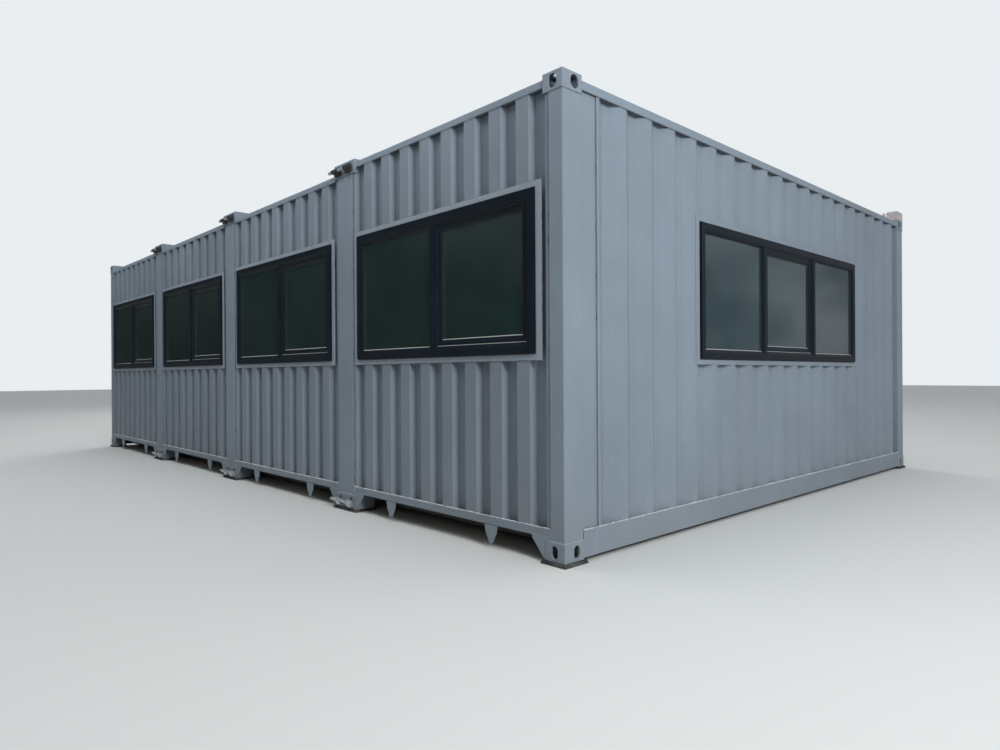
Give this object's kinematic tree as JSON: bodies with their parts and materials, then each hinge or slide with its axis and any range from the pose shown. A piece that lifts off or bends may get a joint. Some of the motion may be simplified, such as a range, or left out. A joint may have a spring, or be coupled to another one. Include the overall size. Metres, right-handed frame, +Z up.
{
  "type": "shipping container cabin",
  "caption": "Low cabin of joined steel shipping containers on bearing pads, with corrugated walls and wide mullioned windows in the end walls and the long side.",
  "frame": {"origin": "centre of the footprint on the ground, under the bearing pads", "axes": "+Z up, -Y towards the windowed front made of the containers' end walls, +X to the right along that front"},
  "size_m": [9.79, 6.1564, 3.014],
  "materials": {
    "rubber": "two-layer rubber bearing pads, dusty",
    "sealant": "dark weatherproof sealant",
    "frame_paint": "light bluish grey two-coat paint on castings, posts and rails, scuffed with some rust",
    "under_paint": "dull dark grey underbody coating",
    "end_paint": "light bluish grey paint on corrugated steel end walls, streaked with dirt",
    "side_paint": "light bluish grey paint on corrugated steel side walls, streaked with dirt",
    "roof_paint": "light bluish grey paint on pressed roof sheets, dusty",
    "plywood": "oiled plywood floor",
    "surround_paint": "light bluish grey paint on flat steel",
    "window_profile": "anthracite window profile",
    "glass": "double glazing, greenish grey",
    "handle_metal": "satin handle",
    "lining_board": "off-white coated inner boards",
    "zinc": "zinc-plated steel, dull",
    "dark_steel": "dark forged and cast steel, weathered"
  },
  "bodies": {
    "root": {"bearing_pads": "rubber", "bottom_corner_castings": "frame_paint", "top_corner_castings": "frame_paint", "corner_posts": "frame_paint", "bottom_side_rails": "frame_paint", "top_side_rails": "frame_paint", "bottom_end_rails": "frame_paint", "top_end_rails": "frame_paint", "cross_members": "under_paint", "bottom_corner_gussets": "frame_paint", "tie_down_plates": "frame_paint", "header_corner_plates": "frame_paint", "front_wall_1": "end_paint", "front_wall_2": "end_paint", "front_wall_3": "end_paint", "front_wall_4": "end_paint", "rear_wall_1": "end_paint", "rear_wall_2": "end_paint", "rear_wall_3": "end_paint", "rear_wall_4": "end_paint", "right_wall": "side_paint", "left_wall": "side_paint", "roof_panel_1": "roof_paint", "roof_panel_2": "roof_paint", "roof_panel_3": "roof_paint", "roof_panel_4": "roof_paint", "floor_panels": "plywood", "end_window_surrounds": "surround_paint", "side_window_surrounds": "surround_paint", "end_window_frames": "window_profile", "side_window_frames": "window_profile", "end_window_sashes": "window_profile", "side_window_sashes": "window_profile", "end_window_glass": "glass", "side_window_glass": "glass", "window_handles": "handle_metal", "window_reveals": "lining_board", "wall_linings": "lining_board", "ceiling_boards": "lining_board", "wall_seam_strips": "surround_paint", "roof_seam_strips": "surround_paint", "window_seals": "sealant", "bottom_bridge_clamps": "zinc", "top_bridge_clamps": "dark_steel", "roof_edge_fittings": "frame_paint"}
  },
  "joints": []
}
